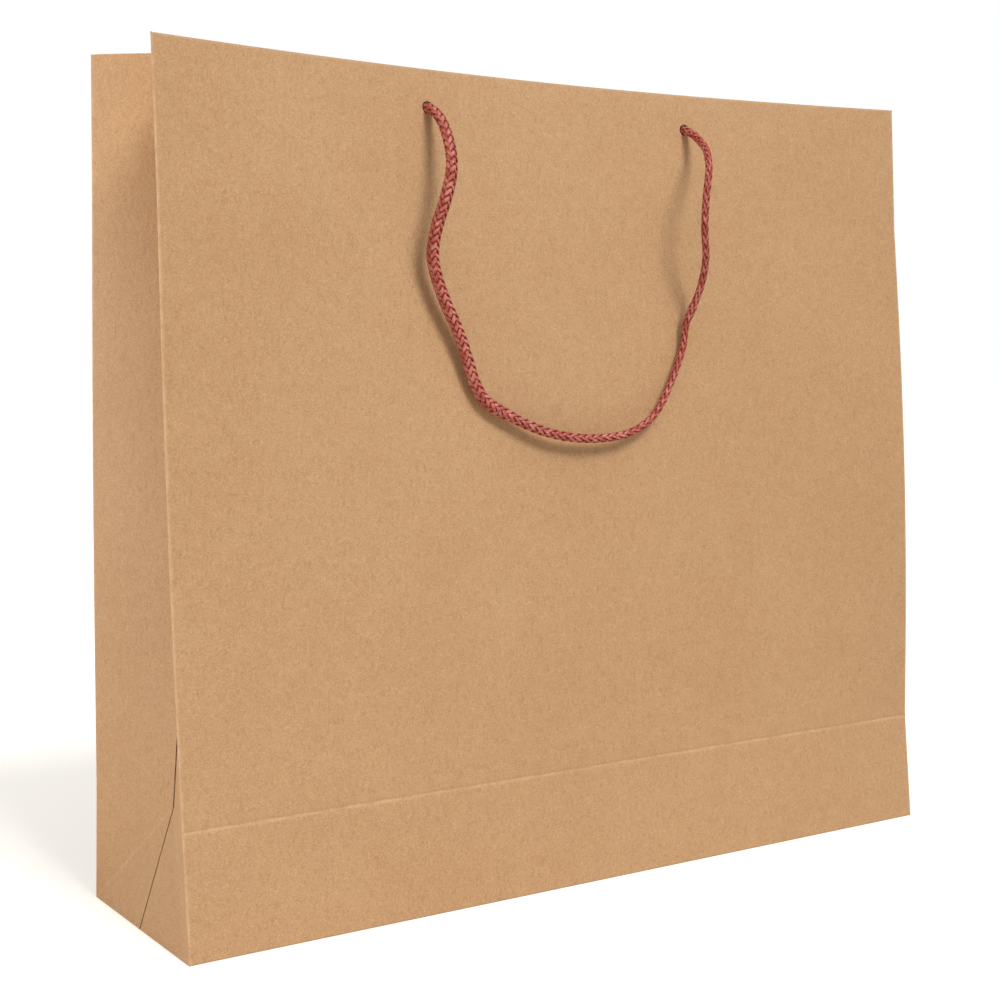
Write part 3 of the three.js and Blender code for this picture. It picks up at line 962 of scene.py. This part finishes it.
def add_gusset_half(wall, end):
    flip = wall.side * end > 0
    rows = lines(FOOT, RIM, PAPER_STEP, (FOOT, *AT_GUSSET_CREASE))
    sheet = Sheet()
    sheet.grid(WRAP_SHARES, rows, lambda share, s: wrap_point(wall, end, share, s),
               flip=flip, edge=near_wrap)
    sheet.grid(across_lines(wall, ACROSS_STEP), rows[:-1] + hem_rows(),
               lambda a, t: gusset_sheet_point(wall, end, a, t),
               flip=flip, edge=near_corner, cut=near_cut(wall))
    name = f"{ENDS[end]}_{wall.name}_gusset"
    replaced = [name, name + "_hem"]
    if wall is BACK:
        add_tab(sheet, end, lines(TAB_LOW, TAB_TOP, TAB_STEP), flip)
        replaced.append(f"{ENDS[end]}_seam_tab")
    piece = sheet.finish(name + "_paper", KRAFT)
    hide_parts(*replaced)
    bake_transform(piece)


# ---------------------------------------------------------------- foot and bottom
FLAP_STEP = 6 * MM
FLAP_REACH = DEPTH / 2 + BOTTOM_LAP
FLAP_LIFT = 0.8 * MM  # the front flap rises over the edge of the back one
FLAP_LIFT_FROM, FLAP_LIFT_OVER = DEPTH / 2 - 26 * MM, 12 * MM
QUARTER_TURN = BOTTOM_FOLD * math.pi / 2
BOTTOM_TURN_STEP = 0.25 * MM
BOTTOM_EDGE_SOFTNESS = 0.4  # millimetres, as CREST_SOFTNESS
FOOT_ACROSS_STEP = 1 / 14
FOOT_STEP = 5 * MM

END_FLAP = SimpleNamespace(reach=72 * MM, side=DEPTH / 2 - 2 * MM, edge=HALF - 0.6 * MM,
                           lift=1.7 * MM, lift_over=9 * MM)
END_FLAP_STEP = 8 * MM
AT_END_FLAP_LIFT = (4 * MM, 5 * MM, 1 * MM)  # the place too
FOOT_TAB_LOW, FOOT_TAB_TOP = 6 * MM, FOOT - SEAM_TAB
FOOT_TAB_STEP = 10 * MM

BOARD_CORNER, BOARD_CORNER_STEPS = 4 * MM, 6
BOARD_EDGE, BOARD_EDGE_STEPS, BOARD_EDGE_PROFILE = 0.25 * MM, 2, 0.6
BOARD_SHARP_ANGLE = 1  # radian, past which an edge of the board is softened


def band_point(wall, x, t):
    """A point of the foot band, at t up it; below BOTTOM_FOLD it turns under the bag."""
    if t >= BOTTOM_FOLD:
        return wall_point(wall, x, t, crease_dip(t))
    turn = (BOTTOM_FOLD - t) / BOTTOM_FOLD
    if turn <= math.pi / 2:
        depth = BOTTOM_FOLD * (1 - math.cos(turn))
        z = BOTTOM_FOLD * (1 - math.sin(turn))
    else:
        depth = 2 * BOTTOM_FOLD - t - QUARTER_TURN
        lift = FLAP_LIFT if wall is FRONT else 0
        z = lift * smooth((depth - FLAP_LIFT_FROM) / FLAP_LIFT_OVER)
    edge = PANEL_EDGE - depth
    return Vector((clamp(x, -edge, edge), wall.side * (DEPTH / 2 - depth), z))


def near_band_edge(x, t):
    return min(near_side(x, t), away(abs(t)) + BOTTOM_EDGE_SOFTNESS)


def near_diagonal(across, s):
    return away((across - s / FOOT) * FOOT * math.sqrt(0.5))


def add_gusset_foot(sheet, wall, end):
    flip = wall.side * end > 0
    rows = lines(0, FOOT, FOOT_STEP, (FOOT, *AT_GUSSET_CREASE))
    sheet.grid(WRAP_SHARES, rows, lambda share, s: wrap_point(wall, end, share, s),
               flip=flip, edge=near_wrap)
    sheet.grid(across_lines(wall, FOOT_ACROSS_STEP), rows,
               lambda a, s: gusset_point(wall, end, a, s, cut_edge(wall, a)),
               flip=flip, diagonal=near_diagonal, edge=near_corner, cut=near_cut(wall))
    sheet.grid(LAP_COLUMNS, lines(FOOT - LAP_REACH, FOOT + LAP_REACH, LAP_REACH),
               lambda a, s: gusset_point(wall, end, a, s, LAP_DEPTH), flip=flip)


def add_foot(wall):
    """The foot band, the gusset feet on both sides and the bottom flap, one folded sheet."""
    columns = lines(-PANEL_EDGE, PANEL_EDGE, PAPER_STEP,
                    *((end * PANEL_EDGE, *AT_CORNER) for end in ENDS))
    rows = lines(-FLAP_REACH, BOTTOM_FOLD - QUARTER_TURN, FLAP_STEP)[:-1]
    rows += lines(BOTTOM_FOLD - QUARTER_TURN, BOTTOM_FOLD, BOTTOM_TURN_STEP)[:-1]
    rows += lines(BOTTOM_FOLD, FOOT, PAPER_STEP, (FOOT, *AT_CREASE))
    sheet = Sheet()
    sheet.grid(columns, rows, lambda x, t: band_point(wall, x, t), flip=wall is BACK,
               fold=near_foot_crease, edge=near_band_edge)
    for end in ENDS:
        add_gusset_foot(sheet, wall, end)
    piece = sheet.finish(f"{wall.name}_foot_paper", KRAFT)
    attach(piece, "base")
    feet = [f"{name}_{wall.name}_gusset_foot" for name in ENDS.values()]
    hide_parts(f"{wall.name}_foot", f"{wall.name}_bottom_flap", *feet)


def end_flap_point(end, y, reach):
    """A point of an end flap, which rises over the thickness of the sheets below it."""
    rise = smooth(reach / END_FLAP.lift_over)
    return Vector((end * (END_FLAP.edge - reach), y, END_FLAP.lift * rise))


def add_end_flap(end):
    """The flap folded in first, seen as a triangle between the long flaps, with its tab."""
    sheet = Sheet()
    sheet.grid(lines(-END_FLAP.side, END_FLAP.side, PAPER_STEP),
               lines(0, END_FLAP.reach, END_FLAP_STEP, AT_END_FLAP_LIFT),
               lambda y, reach: end_flap_point(end, y, reach), flip=end > 0)
    add_tab(sheet, end, lines(FOOT_TAB_LOW, FOOT_TAB_TOP, FOOT_TAB_STEP), flip=end > 0)
    piece = sheet.finish(f"{ENDS[end]}_end_flap_paper", KRAFT)
    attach(piece, "base")
    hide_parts(f"{ENDS[end]}_end_flap", f"{ENDS[end]}_foot_seam_tab")


def add_base_board():
    """The loose board on the bottom, with die-cut round corners and softened edges."""
    low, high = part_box("base_board")
    size = high - low
    board = new_piece("loose_base_board", GREYBOARD)
    mesh = bmesh.new()
    bmesh.ops.create_cube(mesh, size=1)
    for point in mesh.verts:
        point.co = (low + high) / 2 + point.co * size
    upright = [e for e in mesh.edges if abs(e.verts[0].co.z - e.verts[1].co.z) > size.z / 2]
    bmesh.ops.bevel(mesh, geom=upright, offset=BOARD_CORNER, segments=BOARD_CORNER_STEPS,
                    profile=0.5, affect="EDGES")
    level = [e for e in mesh.edges if abs(e.verts[0].co.z - e.verts[1].co.z) < size.z / 2
             and len(e.link_faces) == 2 and e.calc_face_angle() > BOARD_SHARP_ANGLE]
    bmesh.ops.bevel(mesh, geom=level, offset=BOARD_EDGE, segments=BOARD_EDGE_STEPS,
                    profile=BOARD_EDGE_PROFILE, affect="EDGES")
    mesh.to_mesh(board.data)
    mesh.free()
    smooth_shade(board)
    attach(board, "base")
    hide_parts("base_board")


for wall in WALLS:
    add_panel(wall)
    add_rim_card(wall)
    add_foot(wall)
    for end in ENDS:
        add_gusset_half(wall, end)
for end in ENDS:
    add_end_flap(end)
add_base_board()


# ---------------------------------------------------------------- studio
FLOOR_SIZE = 24
FLOOR_GAP = 0.2 * MM
FLOOR_COLOUR = (0.9, 0.86, 0.79, 1)
FLOOR_GLOW = 0.5
WORLD_LIGHT = 0.2
WHITE = (1, 1, 1, 1)


def seen_or_not(tree, unseen, seen):
    """One value for what the camera sees straight, another for what lights the bag."""
    straight = tree.nodes.new("ShaderNodeLightPath").outputs["Is Camera Ray"]
    value = tree.nodes.new("ShaderNodeMapRange")
    value.inputs["To Min"].default_value = unseen
    value.inputs["To Max"].default_value = seen
    tree.links.new(straight, value.inputs["Value"])
    return value.outputs["Result"]


def add_floor():
    """A plain pale floor, lifted to the brightness of the backdrop where the camera sees it."""
    bpy.ops.mesh.primitive_plane_add(size=FLOOR_SIZE, location=(0, 0, -FLOOR_GAP))
    floor = bpy.context.object
    floor.name = "floor"
    n = Nodes("floor", Roughness=1.0, Specular_IOR_Level=0.0, Base_Color=FLOOR_COLOUR,
              Emission_Color=WHITE)
    n.link(seen_or_not(n.tree, 0, FLOOR_GLOW), n.shader.inputs["Emission Strength"])
    floor.data.materials.append(n.material)


def add_lamp(name, kind, aim, direction, distance, **settings):
    """A lamp that shines at aim from a direction."""
    lamp = bpy.data.objects.new(name, bpy.data.lights.new(name, kind))
    for key, value in settings.items():
        setattr(lamp.data, key, value)
    lamp.location = Vector(aim) + direction * distance
    lamp.rotation_euler = direction.to_track_quat("Z", "Y").to_euler()
    bpy.context.scene.collection.objects.link(lamp)


def add_lights():
    """A broad key on the front wall, a lamp over the rim and a soft fill for the left gusset."""
    add_lamp("key", "SUN", aim=(0, 0, 0), direction=towards(8, 46), distance=3,
             energy=2.25, angle=math.radians(21))
    add_lamp("top", "AREA", aim=(0, 0, 0.5), direction=towards(-8, 58), distance=0.9,
             shape="DISK", size=0.7, energy=2.9, color=(0.96, 0.98, 1.0))
    add_lamp("left_fill", "AREA", aim=(-0.25, 0, 0.3), direction=towards(-102, 14), distance=1.8,
             shape="DISK", size=1.6, energy=22, color=(1.0, 0.95, 0.87))


def add_world():
    """A white backdrop to the camera, and a dimmer one to the bag."""
    world = bpy.data.worlds.new("studio")
    world.use_nodes = True
    background = world.node_tree.nodes["Background"]
    background.inputs["Color"].default_value = WHITE
    world.node_tree.links.new(seen_or_not(world.node_tree, WORLD_LIGHT, 1),
                              background.inputs["Strength"])
    bpy.context.scene.world = world


add_floor()
add_lights()
add_world()
bpy.context.scene.view_settings.view_transform = "Standard"
